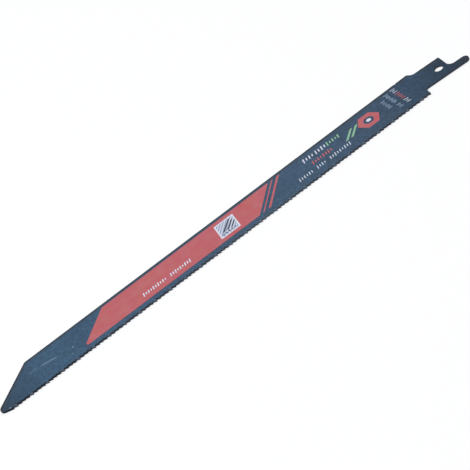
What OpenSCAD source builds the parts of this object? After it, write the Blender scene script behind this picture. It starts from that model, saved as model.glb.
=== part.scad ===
// Reciprocating saw blade for metal: a thin, long strip with a slanted nose, a milled and set
// tooth row, and a canted half-inch shank with a pin hole and a tongue.
// The origin is the centre of the shank hole, in the middle of the thickness. +X runs from the
// nose to the tongue, +Y to the back edge, and +Z is the printed face. Sizes are millimetres.

/* [Strip] */
// Distance from the shank hole's centre to the tip of the nose
hole_to_tip = 214; // [180:1:300]
// Width over the tooth points
blade_width = 19; // [17:0.5:25]
// Distance from the shank hole's centre line to the back edge
hole_to_back = 9.25; // [8.5:0.05:10]
// Thickness of the strip
strip_thickness = 0.9; // [0.6:0.05:1.6]
// Distance from the shank hole's centre to the small nick in the back edge
hole_to_nick = 15.8; // [15:0.1:22]
// Width of the nick
nick_width = 0.9; // [0.4:0.1:2]
// Depth of the nick
nick_depth = 0.35; // [0.1:0.05:0.6]

/* [Nose] */
// Slope of the nose against the back edge, in degrees
nose_angle = 38.8; // [25:0.1:60]
// Radius of the round at the tip
tip_radius = 2; // [1:0.1:4]
// Radius where the nose meets the back edge
nose_corner_radius = 0.8; // [0.2:0.1:3]
// Height of the tip's round above the tooth points
tip_rise = 1.1; // [0.2:0.05:1.2]
// Shortest distance from the tip to the last tooth's point
nose_plain_length = 4; // [2:0.1:20]

/* [Teeth] */
// Distance from one tooth point to the next
tooth_pitch = 1.79; // [1.4:0.01:4]
// Depth of the gullets below the tooth points
tooth_depth = 0.65; // [0.5:0.05:1]
// Forward lean of the cutting faces, in degrees
tooth_rake = 4; // [0:1:12]
// Radius of the gullet floors
gullet_radius = 0.22; // [0.1:0.01:0.24]
// Sideways set of the bent tooth points, on each side
tooth_set = 0.14; // [0.05:0.01:0.4]

/* [Shank] */
// Width of the shank
shank_width = 12.7; // [10:0.1:14]
// Cant of the shank toward the tooth side, in degrees
shank_cant = 4.3; // [0:0.1:8]
// Diameter of the pin hole
shank_hole_d = 3.8; // [3:0.1:6]
// Distance from the hole's centre to the shoulder
hole_to_shoulder = 3.6; // [3.2:0.1:5.5]
// Radius of the shoulder's outer corner
shoulder_corner_radius = 0.4; // [0.2:0.1:1]
// Distance from the hole's centre to the back edge's end
hole_to_step = 9.9; // [8:0.1:14]
// Slope of the step down from the back edge, in degrees
step_angle = 57; // [35:1:80]
// Radius of the hollow at the foot of the step
step_radius = 2.6; // [0.5:0.1:4]
// Distance from the hole's centre to the heel face, behind the nearest tooth
hole_to_heel = 10; // [9:0.1:30]
// Radius of the hollow between the heel face and the shank
heel_radius = 1.4; // [0.3:0.1:1.5]

/* [Tongue] */
// Distance from the hole's centre to the end of the tongue
hole_to_end = 11.5; // [10:0.1:20]
// Width of the tongue
tongue_width = 3.7; // [2:0.05:5]
// Radius of the hollow between the shoulder and the tongue
tongue_root_radius = 2.6; // [0.5:0.1:4]

/* [Print] */
// Thickness of one coat of printing ink
ink_thickness = 0.03; // [0.01:0.01:0.1]
// Distance from the hole's centre to the coloured panel's near corner, on the back edge's side
hole_to_panel = 79.8; // [60:0.1:90]
// Length of the coloured panel along its lower edge
panel_length = 83; // [30:0.5:100]
// Margin between the coloured panel and the back edge
panel_back_margin = 1.8; // [1:0.1:4]
// Margin between the coloured panel and the tooth points
panel_tooth_margin = 3.2; // [2:0.1:6]
// Slope of the coloured panel's far end, in degrees
panel_far_angle = 42.5; // [30:0.5:80]
// Slope of the coloured panel's near end and of the stripes, in degrees
panel_near_angle = 48.5; // [35:0.5:80]
// Radius of the coloured panel's corners
panel_corner_radius = 0.3; // [0.1:0.1:2]
// Radius of the coloured panel's sharp far corner, beside the teeth
panel_tip_radius = 0.9; // [0.1:0.1:2]
// Gap between the coloured panel and the narrow stripe, along the blade
narrow_stripe_gap = 1.6; // [0.5:0.1:4]
// Width of the narrow stripe, along the blade
narrow_stripe_width = 0.7; // [0.3:0.05:3]
// Gap between the two stripes, along the blade
wide_stripe_gap = 1.9; // [0.5:0.1:4]
// Width of the wide stripe, along the blade
wide_stripe_width = 1.25; // [0.3:0.05:3]
// Distance from the coloured panel's near corner to the light label
panel_to_label = 19.5; // [17:0.1:24]
// Width of the light label along the blade
label_width = 9; // [7:0.1:11]
// Height of the light label
label_height = 9.5; // [7:0.1:11]
// Lean of the label's sides, in degrees
label_lean = 8; // [0:0.5:12]
// Width of each dark bar on the label
label_bar_width = 0.8; // [0.3:0.1:1.2]
// Height of the label's centre above the middle of the panel
label_offset = 0; // [-0.5:0.1:0.5]
// Distance from the hole's centre to the centre of the six-sided mark
hole_to_mark = 34.6; // [28:0.1:45]
// Width of the six-sided mark across its corners
mark_width = 10.2; // [6:0.1:12]
// Diameter of the open ring inside the six-sided mark
mark_hole_d = 4.4; // [3:0.1:5]
// Diameter of the light dot in the middle of the six-sided mark
mark_dot_d = 2; // [1:0.1:2.8]
// Width of each slanted bar beside the six-sided mark
mark_bar_width = 1.3; // [0.5:0.1:2]

/* [Hidden] */

// Steps of the rounds, and of each half of a gullet floor
round_steps = 12;
gullet_steps = 3;
round_fn = 64;

// Heights of the long edges
back_y = hole_to_back;
tooth_y = hole_to_back - blade_width;
root_y = tooth_y + tooth_depth;
half_t = strip_thickness / 2;

// A vector at unit length, and the angle of a direction
function unit(v) = v / norm(v);
function heading(v) = atan2(v[1], v[0]);

// Points of an arc about a centre, from one angle to another
function arc(centre, r, from, to, steps = round_steps) =
    [for (i = [0:steps]) let (a = from + (to - from) * i / steps) centre + r * [cos(a), sin(a)]];

// The corner b of the path a, b, c, rounded to radius r
function rounded(a, b, c, r) =
    let (
        to_a = unit(a - b),
        to_c = unit(c - b),
        half = acos(to_a * to_c) / 2,
        centre = b + unit(to_a + to_c) * r / sin(half),
        from = heading(b + to_a * r / tan(half) - centre),
        swing = heading(b + to_c * r / tan(half) - centre) - from,
        turn = swing > 180 ? swing - 360 : swing < -180 ? swing + 360 : swing
    )
    arc(centre, r, from, from + turn);

// A closed outline from a list of corners, each with its own radius
function rounded_outline(corners, radii) =
    let (n = len(corners))
    [
        for (i = [0:n - 1])
            each rounded(corners[(i + n - 1) % n], corners[i], corners[(i + 1) % n], radii[i])
    ];

// The shank's own axes turn about the hole: a shank point in the blade's frame, and back
function on_shank(p) =
    [p[0] * cos(shank_cant) + p[1] * sin(shank_cant), p[1] * cos(shank_cant) - p[0] * sin(shank_cant)];
function to_shank(p) =
    [p[0] * cos(shank_cant) - p[1] * sin(shank_cant), p[1] * cos(shank_cant) + p[0] * sin(shank_cant)];

// Edges of the shank and the tongue, in the shank's axes
shank_top = shank_width / 2;
shank_bottom = -shank_width / 2;
tongue_top = shank_bottom + tongue_width;
tongue_end_centre = [hole_to_end - tongue_width / 2, shank_bottom + tongue_width / 2];

// Foot of the back step, where its slope meets the shank's upper edge
step_start = [-hole_to_step, back_y];
step_slope = step_angle - shank_cant;
step_drop = to_shank(step_start)[1] - shank_top;
step_foot = [to_shank(step_start)[0] + step_drop / tan(step_slope), shank_top];

// The heel face is square to the shank and ends in the point of the nearest tooth
heel_depth = (tooth_y - hole_to_heel * sin(shank_cant)) / cos(shank_cant);
heel_point = on_shank([-hole_to_heel, heel_depth]);

// The tooth row is counted toward the nose, from tooth 0 at the heel
last_tooth = floor((heel_point[0] + hole_to_tip - nose_plain_length) / tooth_pitch);
function point_x(i) = heel_point[0] - i * tooth_pitch;

// Teeth stand in groups of four: straight, bent down, straight, bent up. Tooth 0 is straight.
function is_straight(i) = i == 0 || i % 2 == 1;

// The gullet in front of tooth i: a round floor between its cutting face and the tooth before it
floor_y = root_y - gullet_radius;
floor_dx = (gullet_radius - (floor_y - tooth_y) * sin(tooth_rake)) / cos(tooth_rake);
function floor_centre(i) = [point_x(i) + floor_dx, floor_y];

// Angle at which a tooth's back runs out of the gullet behind it
to_floor = floor_centre(1) - [point_x(0), tooth_y];
back_relief = heading([-to_floor[0], to_floor[1]]) + asin(gullet_radius / norm(to_floor));
relief_normal = 90 - back_relief;

// Half gullets, walked toward the nose: down to tooth i's face, and up from tooth i's back
function face_half(i) = arc(floor_centre(i), gullet_radius, 90, 180 + tooth_rake, gullet_steps);
function back_half(i) = arc(floor_centre(i + 1), gullet_radius, relief_normal, 90, gullet_steps);

// Outline of tooth i, which stands on the root line between its two gullets
function tooth(i) = [each face_half(i), [point_x(i), tooth_y], each back_half(i)];

// A straight tooth's face and point in the strip's edge. Where the tooth before it is straight
// too, the two share the top of the gullet between them.
function face_and_point(i) = [
    for (j = [is_straight(i - 1) ? 1 : 0:gullet_steps]) face_half(i)[j],
    [point_x(i), tooth_y]
];

// The strip's edge from the heel to the nose, with the straight teeth on it. The last is straight.
tooth_edge = [
    heel_point,
    each back_half(0),
    for (i = [1:last_tooth - 1])
        each is_straight(i) ? [each face_and_point(i), each back_half(i)] : [],
    each face_and_point(last_tooth)
];

// The round tip, which the plain edge from the last tooth's point and the sloping nose both touch
tip_centre = [tip_radius - hole_to_tip, tooth_y + tip_rise + tip_radius];
to_tip = tip_centre - [point_x(last_tooth), tooth_y];
tip_start = heading(to_tip) + asin(tip_radius / norm(to_tip)) + 90;
nose_start = tip_centre + tip_radius * [-sin(nose_angle), cos(nose_angle)];
nose_corner = [nose_start[0] + (back_y - nose_start[1]) / tan(nose_angle), back_y];
nose_edge = [
    each arc(tip_centre, tip_radius, tip_start, 90 + nose_angle),
    each rounded(nose_start, nose_corner, step_start, nose_corner_radius)
];

// The small nick in the back edge
nick_edge = [
    [-hole_to_nick - nick_width / 2, back_y],
    [-hole_to_nick, back_y - nick_depth],
    [-hole_to_nick + nick_width / 2, back_y]
];

// Back step, shoulder, tongue and heel
shoulder_corner = on_shank([hole_to_shoulder, shank_top]);
tongue_root = on_shank([hole_to_shoulder, tongue_top]);
heel_root = on_shank([-hole_to_heel, shank_bottom]);
shank_edge = [
    step_start,
    each rounded(step_start, on_shank(step_foot), shoulder_corner, step_radius),
    each rounded(on_shank(step_foot), shoulder_corner, tongue_root, shoulder_corner_radius),
    each rounded(shoulder_corner, tongue_root, on_shank([hole_to_end, tongue_top]), tongue_root_radius),
    each arc(on_shank(tongue_end_centre), tongue_width / 2, 90 - shank_cant, -90 - shank_cant),
    each rounded(on_shank([0, shank_bottom]), heel_root, heel_point, heel_radius)
];

// A flat plate of the strip's thickness
module plate(outline) {
    translate([0, 0, -half_t])
        linear_extrude(height = strip_thickness)
            polygon(outline);
}

// One side's bent teeth, every fourth from the first: upright tooth outlines, kept where the
// leaning slab of the bend passes. The last tooth is left to the strip's edge.
module bent_teeth(first, side) {
    lean = side * tooth_set;
    reach = half_t + 2 * tooth_set;
    intersection() {
        for (i = [first:4:last_tooth - 1])
            translate([0, 0, -reach])
                linear_extrude(height = 2 * reach)
                    polygon(tooth(i));
        translate([-hole_to_tip, 0, 0])
            rotate([90, 0, 90])
                linear_extrude(height = hole_to_tip)
                    polygon([
                        [root_y, -half_t],
                        [root_y, half_t],
                        [tooth_y, half_t + lean],
                        [tooth_y, lean - half_t]
                    ]);
    }
}

module blade() {
    color("#45607b")
        difference() {
            union() {
                plate([each tooth_edge, each nose_edge, each nick_edge, each shank_edge]);
                bent_teeth(first = 2, side = -1);
                bent_teeth(first = 4, side = 1);
            }
            translate([0, 0, -strip_thickness])
                cylinder(h = 2 * strip_thickness, d = shank_hole_d, $fn = round_fn);
        }
}

// The coloured panel's corners, and the edges that the stripes share
panel_top = back_y - panel_back_margin;
panel_bottom = tooth_y + panel_tooth_margin;
panel_height = panel_top - panel_bottom;
near_run = panel_height / tan(panel_near_angle);
far_run = panel_height / tan(panel_far_angle);
panel_near_x = -hole_to_panel;
panel_far_x = panel_near_x - near_run - panel_length;
narrow_stripe_x = panel_near_x + narrow_stripe_gap;
wide_stripe_x = narrow_stripe_x + narrow_stripe_width + wide_stripe_gap;
label_centre = [
    panel_near_x - panel_to_label - label_width / 2,
    (panel_top + panel_bottom) / 2 + label_offset
];
label_corner = label_centre - [label_width + label_height * tan(label_lean), label_height] / 2;
label_grid = min(label_width, label_height) / 4.6;

// The six-sided mark and the two bars beside it. The bars' slope is the label's bars' slope too.
mark_centre = [-hole_to_mark, (panel_top + panel_bottom) / 2];
bars_end = 0.88 * mark_width;
bar_slope = 45;

// A coat of ink on the printed face, lifted by the coats that lie under it
module coat(coats_below = 0) {
    translate([0, 0, half_t + coats_below * ink_thickness])
        linear_extrude(height = ink_thickness)
            children();
}

// A bar whose sides lean toward the tongue as they rise from its lower left corner
module leaning_bar(corner, width, height, slope) {
    run = height / tan(slope);
    translate(corner)
        polygon([[0, 0], [width, 0], [width + run, height], [run, height]]);
}

// A stripe that runs beside the panel's near end
module stripe(x, width) {
    leaning_bar([x - near_run, panel_bottom], width, panel_height, panel_near_angle);
}

module coloured_panel() {
    corners = [
        [panel_near_x, panel_top],
        [panel_near_x - near_run, panel_bottom],
        [panel_far_x, panel_bottom],
        [panel_far_x + far_run, panel_top]
    ];
    r = panel_corner_radius;
    polygon(rounded_outline(corners, [r, r, panel_tip_radius, r]));
}

module red_print() {
    color("#c65d63") {
        coat()
            coloured_panel();
        coat()
            stripe(narrow_stripe_x, narrow_stripe_width);
        coat()
            stripe(wide_stripe_x, wide_stripe_width);
        coat()
            translate(mark_centre)
                difference() {
                    circle(d = mark_width, $fn = 6);
                    circle(d = mark_hole_d, $fn = round_fn);
                }
    }
}

module white_print() {
    color("#dfe3ee") {
        coat(1)
            leaning_bar(label_corner, label_width, label_height, 90 - label_lean);
        coat()
            translate(mark_centre)
                circle(d = mark_dot_d, $fn = round_fn);
    }
}

module green_print() {
    color("#8fbf9a")
        coat()
            for (i = [0:1])
                leaning_bar(
                    mark_centre - [bars_end + (2 * i + 1) * mark_bar_width, mark_width / 4],
                    mark_bar_width, mark_width / 2, bar_slope);
}

// Three falling bars over a row of short dashes, all on the label
module dark_print() {
    color("#3d4658")
        coat(2) {
            for (i = [0:2])
                leaning_bar(
                    label_centre + [(i - 1.6) * label_grid, -label_grid],
                    label_bar_width, (2.8 - 0.7 * i) * label_grid, bar_slope);
            for (i = [-2:2])
                leaning_bar(
                    label_centre + [(i * 0.7 - 0.5) * label_grid, -1.75 * label_grid],
                    label_grid / 3, label_grid / 3, 90 - label_lean);
        }
}

blade();
red_print();
white_print();
green_print();
dark_print();
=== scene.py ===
# Reciprocating saw blade: its looks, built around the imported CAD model.
# Everything is in metres and in the CAD's own axes: x runs from the nose to the tongue,
# y from the teeth to the back edge, and z out of the printed face. The origin is the pin hole.
import math

import bpy
from mathutils import Matrix, Vector


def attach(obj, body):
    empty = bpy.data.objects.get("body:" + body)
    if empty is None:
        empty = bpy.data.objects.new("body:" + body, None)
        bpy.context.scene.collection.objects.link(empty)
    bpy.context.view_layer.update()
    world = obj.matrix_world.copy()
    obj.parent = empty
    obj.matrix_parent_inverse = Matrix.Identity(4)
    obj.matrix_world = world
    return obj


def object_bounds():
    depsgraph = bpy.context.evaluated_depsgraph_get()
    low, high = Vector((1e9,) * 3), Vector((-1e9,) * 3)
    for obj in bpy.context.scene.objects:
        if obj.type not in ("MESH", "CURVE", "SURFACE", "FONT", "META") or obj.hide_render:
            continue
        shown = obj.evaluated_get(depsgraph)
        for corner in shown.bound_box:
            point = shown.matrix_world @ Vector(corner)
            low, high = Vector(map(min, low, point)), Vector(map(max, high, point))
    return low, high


mm = 0.001
noiseSpan = (0.3, 0.7)          # a noise texture keeps mostly between these values
oneWave = math.pi / 10          # Scale of a wave texture that has one band in each metre
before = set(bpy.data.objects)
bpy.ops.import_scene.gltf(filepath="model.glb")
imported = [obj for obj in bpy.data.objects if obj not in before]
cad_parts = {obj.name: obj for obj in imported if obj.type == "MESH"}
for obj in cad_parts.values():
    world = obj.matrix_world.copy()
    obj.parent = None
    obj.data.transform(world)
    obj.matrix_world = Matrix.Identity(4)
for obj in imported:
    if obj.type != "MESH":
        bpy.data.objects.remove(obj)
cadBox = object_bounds()
bpy.ops.object.select_all(action="DESELECT")
print("frame loaded with nodes", sorted(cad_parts))


# ---- camera: fitted to the edges, the hole and the tooth spacing in the photograph
view = {
    "azimuth": -12.50,      # degrees, seen from the tooth side
    "elevation": 34.92,
    "roll": -29.81,
    "distance": 842.7,      # mm
    "lookAt": (-104.31, -6.40, 0.0),
    "sensor": 36.0,
    "focal": 171.31,
}


def placeCamera():
    bpy.ops.object.camera_add()
    camera = bpy.context.object
    camera.name = "photoCamera"
    around, up, roll = (math.radians(view[k]) for k in ("azimuth", "elevation", "roll"))
    back = Vector((math.sin(around) * math.cos(up), -math.cos(around) * math.cos(up), math.sin(up)))
    right = Vector((math.cos(around), math.sin(around), 0.0))
    over = back.cross(right)
    turnedRight = right * math.cos(roll) + over * math.sin(roll)
    turnedOver = over * math.cos(roll) - right * math.sin(roll)
    spot = Vector(view["lookAt"]) * mm + back * view["distance"] * mm
    turn = Matrix((turnedRight, turnedOver, back)).transposed().to_4x4()
    camera.matrix_world = Matrix.Translation(spot) @ turn
    camera.data.sensor_width = view["sensor"]
    camera.data.lens = view["focal"]
    camera.data.clip_start = 0.01
    camera.data.clip_end = 20.0
    bpy.context.scene.camera = camera
    bpy.context.scene.view_settings.view_transform = "Standard"


placeCamera()
print("camera placed")


# ---- helpers for materials
def paint(hexCode):
    parts = [int(hexCode[i:i + 2], 16) / 255 for i in (1, 3, 5)]
    return [c / 12.92 if c <= 0.04045 else ((c + 0.055) / 1.055) ** 2.4 for c in parts] + [1.0]


def newTree(name):
    material = bpy.data.materials.new(name)
    material.use_nodes = True
    material.node_tree.nodes.clear()
    return material, material.node_tree


# One node with its settings; inputs are values, or outputs of other nodes to link
def addNode(tree, kind, inputs=None, **settings):
    node = tree.nodes.new(kind)
    for key, value in settings.items():
        setattr(node, key, value)
    for key, value in (inputs or {}).items():
        if isinstance(value, bpy.types.NodeSocket):
            tree.links.new(value, node.inputs[key])
        else:
            node.inputs[key].default_value = value
    return node


# ---- light: a plain pale studio, where a colour renders about as it is written
studio = {
    "skyColour": "#f7f9ff",
    "skyStrength": 0.62,
    "floorSize": 6000.0,        # mm
    "floorColour": "#fcfcfd",
    "floorGlow": 0.72,          # share of the floor that camera rays see as plain white
    "keyPower": 6.0,            # W, for a lamp of the size below
    "keySize": 900.0,
    "keySpot": (-520.0, 120.0, 1000.0),
    "fillPower": 1.0,
    "fillSpot": (420.0, -300.0, 900.0),
}


def buildWorld():
    world = bpy.data.worlds.new("paleStudio")
    world.use_nodes = True
    tree = world.node_tree
    tree.nodes.clear()
    path = addNode(tree, "ShaderNodeLightPath")
    seen = addNode(tree, "ShaderNodeMath",
                   {0: path.outputs["Is Camera Ray"], 1: path.outputs["Is Glossy Ray"]}, operation="MAXIMUM")
    seenToo = addNode(tree, "ShaderNodeMath",
                      {0: seen.outputs[0], 1: path.outputs["Is Transmission Ray"]}, operation="MAXIMUM")
    lit = addNode(tree, "ShaderNodeBackground",
                  {"Color": paint(studio["skyColour"]), "Strength": studio["skyStrength"]})
    white = addNode(tree, "ShaderNodeBackground", {"Color": paint("#ffffff"), "Strength": 1.0})
    mix = addNode(tree, "ShaderNodeMixShader", {0: seenToo.outputs[0], 1: lit.outputs[0], 2: white.outputs[0]})
    addNode(tree, "ShaderNodeOutputWorld", {"Surface": mix.outputs[0]})
    bpy.context.scene.world = world


def buildFloor():
    bpy.ops.mesh.primitive_plane_add(size=studio["floorSize"] * mm, location=(0, 0, cadBox[0].z))
    floor = bpy.context.object
    floor.name = "paleFloor"
    material, tree = newTree("pale paper floor")     # matt paper sheet, keeps the contact shadow
    path = addNode(tree, "ShaderNodeLightPath")
    glow = addNode(tree, "ShaderNodeMath", {0: path.outputs["Is Camera Ray"], 1: studio["floorGlow"]},
                   operation="MULTIPLY")
    sheet = addNode(tree, "ShaderNodeBsdfDiffuse", {"Color": paint(studio["floorColour"])})
    white = addNode(tree, "ShaderNodeEmission", {"Color": paint("#ffffff"), "Strength": 1.0})
    mix = addNode(tree, "ShaderNodeMixShader", {0: glow.outputs[0], 1: sheet.outputs[0], 2: white.outputs[0]})
    addNode(tree, "ShaderNodeOutputMaterial", {"Surface": mix.outputs[0]})
    floor.data.materials.append(material)


def addLamp(name, spot, power, size):
    bpy.ops.object.light_add(type="AREA", location=Vector(spot) * mm)
    lamp = bpy.context.object
    lamp.name = name
    lamp.data.energy = power
    lamp.data.size = size * mm
    aim = Vector(view["lookAt"]) * mm - lamp.location
    lamp.rotation_euler = aim.to_track_quat("-Z", "Y").to_euler()


buildWorld()
buildFloor()
addLamp("keyLamp", studio["keySpot"], studio["keyPower"], studio["keySize"])
addLamp("fillLamp", studio["fillSpot"], studio["fillPower"], studio["keySize"])
print("studio built")


face = 0.45                     # mm, height of the printed face over the middle of the strip

# ---- baked enamel on hardened steel: satin slate blue, a thin coat with a faint orange peel.
# On the cut edges its colour is painted shade; it is darker along the outline and over the heat-treated teeth.
# On the teeth that are bent down it has a painted highlight, and beside the teeth bent up painted shade.
enamel = {
    "alongTonesAndShade": [                 # mm along the blade, and the enamel's tone there; its darkening toward both ends is partly painted shade
        (-214.0, "#263747"), (-204.0, "#2d475d"), (-192.0, "#34526a"), (-75.0, "#395168"),
        (-28.0, "#33485d"), (-7.0, "#273f55"), (0.5, "#1b3145"), (11.5, "#232b37"),
    ],
    "toothTonesAndLight": [                 # the same along the tooth row; its darkening toward the nose is partly painted shade, and the light stop near -92 mm a painted glint
        (-205.0, "#141d28"), (-120.0, "#424d5c"), (-92.0, "#525e6c"), (-65.0, "#414b57"), (-15.0, "#37424e"),
    ],
    "toothGroup": 7.16,             # mm, four teeth of the set, one bent down and one bent up
    "setHighlightAndShade": [                      # x of each: a painted highlight on the tooth bent down, painted shade in the gullet by the tooth bent up; half its width, mm; tone; share of it
        (-15.2, 1.1, "#707c8e", 0.45), (-17.7, 0.8, "#10161d", 0.3),
    ],
    "setHighlightCore": 0.3,                # share of a mark's half width that has the whole share of its painted tone
    "edgeShadeAndGlint": [                  # painted shade on the cut edges along the blade, with a painted glint near -92 mm
        (-212.0, "#171f29"), (-118.0, "#37424e"), (-92.0, "#4c5763"), (-66.0, "#35404c"), (11.5, "#333d49"),
    ],
    "marginTone": "#323d47",
    "rimTone": "#10161d",
    "toothBand": (-8.8, -9.4),      # y where the dark band begins and is full
    "coatEdge": (0.40, 0.447),      # height at which a cut edge turns into the face
    "marginFade": (2.6, 0.6),       # mm inside the outline where the greyer margin begins and is full
    "marginShare": 0.55,
    "rimFade": (0.9, 0.3),          # the same for the dark line on the very edge
    "rimShare": 0.95,
    "rims": [                       # outward direction, degrees; distance from the hole, mm; first x
        (90.0, 9.25, -230.0), (128.8, 129.66, -230.0), (85.7, 6.35, -7.5),
    ],
    "rimStart": 1.0,                # mm over which a rim begins at its first x
    "cloudSize": 14.0,              # mm, slow drift of the tone
    "drift": 0.07,                  # share by which the clouds lighten and darken it
    "cast": 0.13,                   # share by which each colour channel drifts by itself
    "grainSize": 1.2,               # mm, drawn coarser than the real 0.2 mm so that it shows
    "fleck": 0.24,                  # share by which the grain lightens and darkens it
    "peelSize": 0.7,                # mm, one dimple of the orange peel
    "peelDepth": 0.01,              # mm
    "peelStrength": 0.35,
    "roughness": (0.42, 0.54),
    "ior": 1.5,
    "gloss": 0.14,
}
# pale marks: real specks, painted streaks of reflected light and a painted glint
wearAndGlints = {
    "reflectionStreaks": [                  # painted streaks of reflected light: from, to, mm; half the width; share of the pale tone
        ((-192.4, 1.0), (-184.5, -0.65), 0.28, 0.44), ((-197.4, 1.35), (-193.4, 1.0), 0.32, 0.2),
    ],
    "endsFrom": 0.3,                # share of a streak's length, from its middle, where its ends begin to fade
    "specksAndGlint": [                     # x, y, radius; the last is a painted glint by the first gullet, the others real specks
        (-178.2, -1.6, 0.45), (-180.0, -4.95, 0.28), (-210.55, -8.75, 0.55),
    ],
    "speckCore": 0.3,               # share of a speck's radius that has the whole share of the pale tone
    "speckShare": 0.7,
    "tone": "#98abb9",
}


# The greatest of several masks
def greatest(tree, masks):
    whole = masks[0]
    for mask in masks[1:]:
        whole = addNode(tree, "ShaderNodeMath", {0: whole.outputs[0], 1: mask.outputs[0]}, operation="MAXIMUM")
    return whole


# Share of the tone that lies along the outline, 0 away from it
def rimMask(tree, place, axes, fade, share):
    lines = []
    for direction, offset, firstX in enamel["rims"]:
        angle = math.radians(direction)
        reach = addNode(tree, "ShaderNodeVectorMath",
                        {0: place, 1: (math.cos(angle), math.sin(angle), 0.0)}, operation="DOT_PRODUCT")
        near = addNode(tree, "ShaderNodeMapRange",
                       {"Value": reach.outputs["Value"], "From Min": (offset - fade[0]) * mm,
                        "From Max": (offset - fade[1]) * mm}, interpolation_type="SMOOTHSTEP")
        there = addNode(tree, "ShaderNodeMapRange",
                        {"Value": axes.outputs[0], "From Min": firstX * mm,
                         "From Max": (firstX + enamel["rimStart"]) * mm})
        lines.append(addNode(tree, "ShaderNodeMath", {0: near.outputs[0], 1: there.outputs[0]},
                             operation="MULTIPLY"))
    return addNode(tree, "ShaderNodeMath", {0: greatest(tree, lines).outputs[0], 1: share},
                   operation="MULTIPLY")


# Share of the pale tone: painted streaks of reflected light that fade at both ends, a few real specks and one
# painted glint
def wearAndGlintMask(tree, place):
    marks = []
    for start, end, half, share in wearAndGlints["reflectionStreaks"]:
        run = Vector(end) - Vector(start)
        ahead = run.normalized()
        fromStart = addNode(tree, "ShaderNodeVectorMath",
                            {0: place, 1: (start[0] * mm, start[1] * mm, 0.0)}, operation="SUBTRACT")
        along = addNode(tree, "ShaderNodeVectorMath",
                        {0: fromStart.outputs[0], 1: (ahead.x, ahead.y, 0.0)}, operation="DOT_PRODUCT")
        across = addNode(tree, "ShaderNodeVectorMath",
                         {0: fromStart.outputs[0], 1: (-ahead.y, ahead.x, 0.0)}, operation="DOT_PRODUCT")
        aside = addNode(tree, "ShaderNodeMath", {0: across.outputs["Value"]}, operation="ABSOLUTE")
        thin = addNode(tree, "ShaderNodeMapRange",
                       {"Value": aside.outputs[0], "From Min": 0.0, "From Max": 2 * half * mm,
                        "To Min": share, "To Max": 0.0})
        middle = addNode(tree, "ShaderNodeMath", {0: along.outputs["Value"], 1: run.length / 2 * mm},
                         operation="SUBTRACT")
        away = addNode(tree, "ShaderNodeMath", {0: middle.outputs[0]}, operation="ABSOLUTE")
        ends = addNode(tree, "ShaderNodeMapRange",
                       {"Value": away.outputs[0], "From Min": run.length * wearAndGlints["endsFrom"] * mm,
                        "From Max": run.length / 2 * mm, "To Min": 1.0, "To Max": 0.0})
        marks.append(addNode(tree, "ShaderNodeMath", {0: thin.outputs[0], 1: ends.outputs[0]},
                             operation="MULTIPLY"))
    # real specks, and a painted glint by the first gullet
    for x, y, radius in wearAndGlints["specksAndGlint"]:
        away = addNode(tree, "ShaderNodeVectorMath", {0: place, 1: (x * mm, y * mm, face * mm)},
                       operation="DISTANCE")
        marks.append(addNode(tree, "ShaderNodeMapRange",
                             {"Value": away.outputs["Value"], "From Min": wearAndGlints["speckCore"] * radius * mm,
                              "From Max": radius * mm, "To Min": wearAndGlints["speckShare"], "To Max": 0.0}))
    return greatest(tree, marks)


# The tone at each place along the blade
def toneAlong(tree, axes, tones):
    start, end = tones[0][0], tones[-1][0]
    along = addNode(tree, "ShaderNodeMapRange",
                    {"Value": axes.outputs[0], "From Min": start * mm, "From Max": end * mm})
    ramp = addNode(tree, "ShaderNodeValToRGB", {0: along.outputs[0]})
    stops = ramp.color_ramp.elements
    while len(stops) < len(tones):
        stops.new(0.5)
    for stop, (x, tone) in zip(stops, tones):
        stop.position = (x - start) / (end - start)
        stop.color = paint(tone)
    return ramp


# Painted highlight and painted shade from the set's bends, at the same place in every group of teeth
def paintSetHighlightAndShade(tree, axes, toTeeth, coat):
    half = enamel["toothGroup"] / 2 * mm
    for x, reach, tone, share in enamel["setHighlightAndShade"]:
        ahead = addNode(tree, "ShaderNodeMath", {0: axes.outputs[0], 1: x * mm}, operation="SUBTRACT")
        inGroup = addNode(tree, "ShaderNodeMath", {0: ahead.outputs[0], 1: half, 2: -half},
                          operation="WRAP")
        aside = addNode(tree, "ShaderNodeMath", {0: inGroup.outputs[0]}, operation="ABSOLUTE")
        near = addNode(tree, "ShaderNodeMapRange",
                       {"Value": aside.outputs[0], "From Min": enamel["setHighlightCore"] * reach * mm,
                        "From Max": reach * mm, "To Min": share, "To Max": 0.0},
                       interpolation_type="SMOOTHSTEP")
        there = addNode(tree, "ShaderNodeMath", {0: near.outputs[0], 1: toTeeth.outputs[0]},
                        operation="MULTIPLY")
        coat = addNode(tree, "ShaderNodeMix", {0: there.outputs[0], 6: coat.outputs[2], 7: paint(tone)},
                       data_type="RGBA")
    return coat


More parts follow.
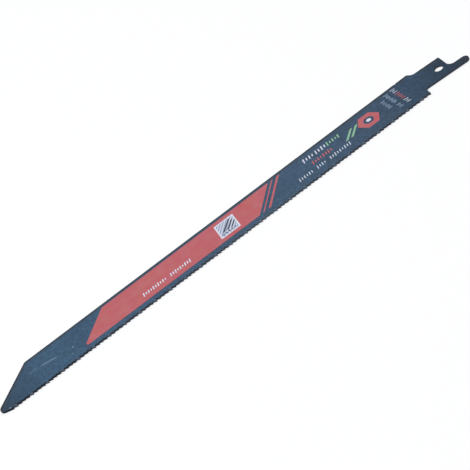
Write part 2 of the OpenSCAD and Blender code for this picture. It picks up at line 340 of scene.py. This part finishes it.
def enamelMaterial():
    material, tree = newTree("baked enamel")
    place = addNode(tree, "ShaderNodeTexCoord").outputs["Object"]
    axes = addNode(tree, "ShaderNodeSeparateXYZ", {0: place})
    # the enamel's tone along the blade, partly painted shade toward both ends
    ramp = toneAlong(tree, axes, enamel["alongTonesAndShade"])
    clouds = addNode(tree, "ShaderNodeTexNoise",
                     {"Vector": place, "Scale": 1 / (enamel["cloudSize"] * mm), "Detail": 3.0})
    grain = addNode(tree, "ShaderNodeTexNoise",
                    {"Vector": place, "Scale": 1 / (enamel["grainSize"] * mm), "Detail": 2.0})
    drift = addNode(tree, "ShaderNodeMapRange",
                    {"Value": clouds.outputs[0], "From Min": noiseSpan[0], "From Max": noiseSpan[1],
                     "To Min": 1 - enamel["drift"], "To Max": 1 + enamel["drift"]})
    fleck = addNode(tree, "ShaderNodeMapRange",
                    {"Value": grain.outputs[0], "From Min": noiseSpan[0], "From Max": noiseSpan[1],
                     "To Min": 1 - enamel["fleck"], "To Max": 1 + enamel["fleck"]})
    shade = addNode(tree, "ShaderNodeMath", {0: drift.outputs[0], 1: fleck.outputs[0]}, operation="MULTIPLY")
    shaded = addNode(tree, "ShaderNodeVectorMath", {0: ramp.outputs[0], "Scale": shade.outputs[0]},
                     operation="SCALE")
    least = 1 - enamel["cast"] / 2
    cast = addNode(tree, "ShaderNodeVectorMath",
                   {0: clouds.outputs[1], 1: (enamel["cast"],) * 3, 2: (least,) * 3},
                   operation="MULTIPLY_ADD")
    body = addNode(tree, "ShaderNodeVectorMath", {0: shaded.outputs[0], 1: cast.outputs[0]},
                   operation="MULTIPLY")
    # pale marks: real specks, painted reflection streaks and a painted glint
    worn = addNode(tree, "ShaderNodeMix", {0: wearAndGlintMask(tree, place).outputs[0], 6: body.outputs[0],
                                           7: paint(wearAndGlints["tone"])}, data_type="RGBA")
    margin = rimMask(tree, place, axes, enamel["marginFade"], enamel["marginShare"])
    greyed = addNode(tree, "ShaderNodeMix", {0: margin.outputs[0], 6: worn.outputs[2],
                                             7: paint(enamel["marginTone"])}, data_type="RGBA")
    rim = rimMask(tree, place, axes, enamel["rimFade"], enamel["rimShare"])
    rimmed = addNode(tree, "ShaderNodeMix", {0: rim.outputs[0], 6: greyed.outputs[2],
                                             7: paint(enamel["rimTone"])}, data_type="RGBA")
    toTeeth = addNode(tree, "ShaderNodeMapRange",
                      {"Value": axes.outputs[1], "From Min": enamel["toothBand"][0] * mm,
                       "From Max": enamel["toothBand"][1] * mm}, interpolation_type="SMOOTHSTEP")
    # the teeth's tone along the row, partly painted shade toward the nose, with a painted glint near -92 mm
    toothToneAndLight = toneAlong(tree, axes, enamel["toothTonesAndLight"])
    toothed = addNode(tree, "ShaderNodeMix", {0: toTeeth.outputs[0], 6: rimmed.outputs[2],
                                              7: toothToneAndLight.outputs[0]}, data_type="RGBA")
    height = addNode(tree, "ShaderNodeMath", {0: axes.outputs[2]}, operation="ABSOLUTE")
    toFace = addNode(tree, "ShaderNodeMapRange",
                     {"Value": height.outputs[0], "From Min": enamel["coatEdge"][0] * mm,
                      "From Max": enamel["coatEdge"][1] * mm})
    # the cut edges get painted shade along the blade, with a painted glint near -92 mm
    edgeShade = toneAlong(tree, axes, enamel["edgeShadeAndGlint"])
    coat = addNode(tree, "ShaderNodeMix", {0: toFace.outputs[0], 6: edgeShade.outputs[0],
                                           7: toothed.outputs[2]}, data_type="RGBA")
    # painted highlight and painted shade on the set teeth
    coat = paintSetHighlightAndShade(tree, axes, toTeeth, coat)
    gloss = addNode(tree, "ShaderNodeMapRange", {"Value": grain.outputs[0], "To Min": enamel["roughness"][0],
                                                 "To Max": enamel["roughness"][1]})
    peel = addNode(tree, "ShaderNodeTexNoise",
                   {"Vector": place, "Scale": 1 / (enamel["peelSize"] * mm), "Detail": 1.0})
    bump = addNode(tree, "ShaderNodeBump",
                   {"Strength": enamel["peelStrength"], "Distance": enamel["peelDepth"] * mm,
                    "Height": peel.outputs[0]})
    surface = addNode(tree, "ShaderNodeBsdfPrincipled",
                      {"Base Color": coat.outputs[2], "Roughness": gloss.outputs[0],
                       "Normal": bump.outputs[0], "IOR": enamel["ior"],
                       "Specular IOR Level": enamel["gloss"]})
    addNode(tree, "ShaderNodeOutputMaterial", {"Surface": surface.outputs[0]})
    return material


# ---- screen-printing ink: matt, thin and slightly uneven, with the weave of the screen in it
inks = {
    "red": {"name": "red screen-printing ink", "tone": "#c0585e", "worn": "#ae6c6e", "slot": "red_ink"},
    "white": {"name": "white screen-printing ink", "tone": "#dfe3ee", "worn": "#b9c1d0",
              "slot": "white_ink"},
    "label": {"name": "lavender and white screen-printing ink", "tone": "#e3e4f0", "worn": "#ccd0de",
              "slot": "white_ink"},
    "green": {"name": "green screen-printing ink", "tone": "#93bd98", "worn": "#7ea78b",
              "slot": "green_ink"},
    "dark": {"name": "dark slate screen-printing ink", "tone": "#232935", "worn": "#333c4b",
             "slot": "dark_ink"},
    "grey": {"name": "thin white screen-printing ink", "tone": "#96a9bd", "worn": "#70859a",
             "slot": "white_ink"},
}
labelField = {
    "centre": (-103.8, 0.45),   # mm
    "half": (3.95, 4.2),        # half the width and height of the hatched field in the pale border
    "lean": 8.0,                # degrees
    "hatch": 1.15,              # mm from one line of the hatching to the next
    "slope": -48.5,             # degrees by which the lines are turned
    "wobble": 0.6,
    "light": "#d2d8e6",
    "dark": "#8d98ae",
}
weave = {
    "patchSize": 4.0,       # mm, uneven pressure of the squeegee
    "cast": 0.3,            # share by which each colour channel drifts by itself
    "meshSize": 0.45,       # mm, drawn coarser than the real 0.1 mm screen so that it shows
    "meshDepth": 0.008,     # mm
    "meshStrength": 0.3,
    "thinSpan": (0.7, 1.35),    # sum of both patterns where the ink begins to thin and is thinnest
    "roughness": (0.5, 0.64),
    "ior": 1.48,
    "gloss": 0.15,
}


# The label's field is hatched with slanted lines inside its white border
def hatchField(tree, place, tone):
    field = labelField
    fromCentre = addNode(tree, "ShaderNodeVectorMath",
                         {0: place, 1: (field["centre"][0] * mm, field["centre"][1] * mm, 0.0)},
                         operation="SUBTRACT")
    slant = addNode(tree, "ShaderNodeVectorMath",
                    {0: fromCentre.outputs[0], 1: (1.0, -math.tan(math.radians(field["lean"])), 0.0)},
                    operation="DOT_PRODUCT")
    axes = addNode(tree, "ShaderNodeSeparateXYZ", {0: fromCentre.outputs[0]})
    wide = addNode(tree, "ShaderNodeMath", {0: slant.outputs["Value"]}, operation="ABSOLUTE")
    tall = addNode(tree, "ShaderNodeMath", {0: axes.outputs[1]}, operation="ABSOLUTE")
    inWidth = addNode(tree, "ShaderNodeMath", {0: wide.outputs[0], 1: field["half"][0] * mm},
                      operation="LESS_THAN")
    inHeight = addNode(tree, "ShaderNodeMath", {0: tall.outputs[0], 1: field["half"][1] * mm},
                       operation="LESS_THAN")
    inside = addNode(tree, "ShaderNodeMath", {0: inWidth.outputs[0], 1: inHeight.outputs[0]},
                     operation="MULTIPLY")
    turned = addNode(tree, "ShaderNodeMapping",
                     {"Vector": fromCentre.outputs[0], "Rotation": (0.0, 0.0, math.radians(field["slope"]))})
    lines = addNode(tree, "ShaderNodeTexWave",
                    {"Vector": turned.outputs[0], "Scale": oneWave / (field["hatch"] * mm),
                     "Distortion": field["wobble"], "Detail": 1.0}, bands_direction="Y")
    hatched = addNode(tree, "ShaderNodeMix", {0: lines.outputs[1], 6: paint(field["dark"]),
                                              7: paint(field["light"])}, data_type="RGBA")
    return addNode(tree, "ShaderNodeMix", {0: inside.outputs[0], 6: tone, 7: hatched.outputs[2]},
                   data_type="RGBA")


def inkMaterial(kind):
    ink = inks[kind]
    material, tree = newTree(ink["name"])
    place = addNode(tree, "ShaderNodeTexCoord").outputs["Object"]
    patches = addNode(tree, "ShaderNodeTexNoise",
                      {"Vector": place, "Scale": 1 / (weave["patchSize"] * mm), "Detail": 2.0})
    threads = addNode(tree, "ShaderNodeTexNoise",
                      {"Vector": place, "Scale": 1 / (weave["meshSize"] * mm), "Detail": 1.0})
    both = addNode(tree, "ShaderNodeMath", {0: patches.outputs[0], 1: threads.outputs[0]}, operation="ADD")
    thin = addNode(tree, "ShaderNodeMapRange",
                   {"Value": both.outputs[0], "From Min": weave["thinSpan"][0],
                    "From Max": weave["thinSpan"][1]})
    plain = addNode(tree, "ShaderNodeMix",
                    {0: thin.outputs[0], 6: paint(ink["tone"]), 7: paint(ink["worn"])}, data_type="RGBA")
    least = 1 - weave["cast"] / 2
    cast = addNode(tree, "ShaderNodeVectorMath",
                   {0: patches.outputs[1], 1: (weave["cast"],) * 3, 2: (least,) * 3},
                   operation="MULTIPLY_ADD")
    tone = addNode(tree, "ShaderNodeMix", {0: 1.0, 6: plain.outputs[2], 7: cast.outputs[0]},
                   data_type="RGBA", blend_type="MULTIPLY")
    if kind == "label":
        tone = hatchField(tree, place, tone.outputs[2])
    gloss = addNode(tree, "ShaderNodeMapRange", {"Value": threads.outputs[0], "To Min": weave["roughness"][0],
                                                 "To Max": weave["roughness"][1]})
    bump = addNode(tree, "ShaderNodeBump",
                   {"Strength": weave["meshStrength"], "Distance": weave["meshDepth"] * mm,
                    "Height": threads.outputs[0]})
    surface = addNode(tree, "ShaderNodeBsdfPrincipled",
                      {"Base Color": tone.outputs[2], "Roughness": gloss.outputs[0],
                       "Normal": bump.outputs[0], "IOR": weave["ior"],
                       "Specular IOR Level": weave["gloss"]})
    addNode(tree, "ShaderNodeOutputMaterial", {"Surface": surface.outputs[0]})
    return material


materials = {kind: inkMaterial(kind) for kind in inks}
materials["enamel"] = enamelMaterial()
dressed = {"blade": "enamel", "red_print": "red", "white_print": "label", "green_print": "green",
           "dark_print": "dark"}
for nodeName, kind in dressed.items():
    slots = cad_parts[nodeName].data.materials
    slots.clear()
    slots.append(materials[kind])
print("enamel and inks applied")


# ---- rows of short slanted bars, a plain pattern in thin coats of ink
bar = {
    "corner": 0.12,         # share of a bar's width and height that its rounded corners take
    "coat": 0.03,           # mm
    "lean": 12.0,           # degrees
}
panelFace = face + bar["coat"]
heights = (1.0, 0.62, 0.84, 0.5, 0.92, 0.7)     # of the bars in turn, as shares of the row's height

# Each row: its ink, the start of its lower edge, its direction in degrees, its height, the width of a bar
# and the gap after it, mm, the number of bars in each group, the wider gap between groups, and the height
# of the face that it is printed on
rows = [
    {"piece": "panel_row", "ink": "white", "start": (-145.7, -3.75), "turn": 0, "height": 2.3, "width": 0.5,
     "gap": 0.62, "groups": (10, 9), "groupGap": 2.2, "base": panelFace},
    {"piece": "upper_row", "ink": "white", "start": (-64.7, 2.95), "turn": 0, "height": 2.9, "width": 0.54,
     "gap": 0.86, "groups": (4, 4), "groupGap": 1.2, "base": face},
    {"piece": "upper_row_end", "ink": "green", "start": (-53.2, 2.95), "turn": 0, "height": 2.7, "width": 0.6,
     "gap": 0.72, "groups": (5,), "groupGap": 1.2, "base": face},
    {"piece": "middle_row", "ink": "red", "start": (-62.8, -1.35), "turn": 0, "height": 2.5, "width": 0.55,
     "gap": 0.7, "groups": (8,), "groupGap": 1.2, "base": face},
    {"piece": "lower_row", "ink": "white", "start": (-71.7, -5.4), "turn": 0, "height": 2.3, "width": 0.38,
     "gap": 0.79, "groups": (6, 4, 9), "groupGap": 2.4, "base": face},
    {"piece": "cross_row_far", "ink": "grey", "start": (-26.1, 4.9), "turn": -90, "height": 1.9, "width": 0.4,
     "gap": 0.6, "groups": (7,), "groupGap": 1.0, "base": face},
    {"piece": "cross_row_middle", "ink": "grey", "start": (-23.0, 7.2), "turn": -90, "height": 2.0,
     "width": 0.45, "gap": 0.6, "groups": (8, 3), "groupGap": 2.0, "base": face},
    {"piece": "cross_row_near_top", "ink": "white", "start": (-19.6, 7.5), "turn": -90, "height": 2.2,
     "width": 0.3, "gap": 0.85, "groups": (3,), "groupGap": 1.0, "base": face},
    {"piece": "cross_row_near_middle", "ink": "red", "start": (-19.6, 3.7), "turn": -90, "height": 2.2,
     "width": 0.42, "gap": 0.73, "groups": (5,), "groupGap": 1.0, "base": face},
    {"piece": "cross_row_near_end", "ink": "white", "start": (-19.6, -2.7), "turn": -90, "height": 2.2,
     "width": 0.36, "gap": 0.79, "groups": (3,), "groupGap": 1.0, "base": face},
]


# One bar, 1 mm square: a plane with rounded corners, raised by a coat of ink
def modelBar():
    bpy.ops.object.select_all(action="DESELECT")
    bpy.ops.mesh.primitive_plane_add(size=mm, location=(0, 0, 0))
    master = bpy.context.object
    bpy.ops.object.mode_set(mode="EDIT")
    bpy.ops.mesh.select_all(action="SELECT")
    bpy.ops.mesh.bevel(offset=bar["corner"] * mm, segments=2, affect="VERTICES")
    bpy.ops.mesh.select_all(action="SELECT")
    bpy.ops.mesh.extrude_region_move(TRANSFORM_OT_translate={"value": (0, 0, bar["coat"] * mm)})
    bpy.ops.mesh.select_all(action="SELECT")
    bpy.ops.mesh.normals_make_consistent(inside=False)
    bpy.ops.object.mode_set(mode="OBJECT")
    return master


# Places of a row's bars: distance along the row and height of each
def rowBars(row):
    spots, along, count = [], 0.0, 0
    for number in row["groups"]:
        for _ in range(number):
            spots.append((along + row["width"] / 2, row["height"] * heights[count % len(heights)]))
            along += row["width"] + row["gap"]
            count += 1
        along += row["groupGap"] - row["gap"]
    return spots


def printRow(row, master):
    start = Matrix.Translation(Vector((*row["start"], row["base"])) * mm)
    turn = Matrix.Rotation(math.radians(row["turn"]), 4, "Z")
    shear = Matrix.Identity(4)
    shear[0][1] = math.tan(math.radians(bar["lean"]))
    copies = []
    for along, height in rowBars(row):
        single = master.copy()
        single.data = master.data.copy()
        bpy.context.collection.objects.link(single)
        size = Matrix.Diagonal((row["width"], height, 1.0, 1.0))
        middle = Matrix.Translation(Vector((along, row["height"] / 2, 0.0)) * mm)
        single.data.transform(start @ turn @ shear @ middle @ size)
        copies.append(single)
    bpy.ops.object.select_all(action="DESELECT")
    for single in copies:
        single.select_set(True)
    bpy.context.view_layer.objects.active = copies[0]
    bpy.ops.object.join()
    piece = bpy.context.object
    piece.name = row["piece"]
    piece.data.materials.clear()
    piece.data.materials.append(materials[row["ink"]])
    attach(piece, "root")


masterBar = modelBar()
for row in rows:
    printRow(row, masterBar)
bpy.data.objects.remove(masterBar)
print("rows printed:", len(rows))
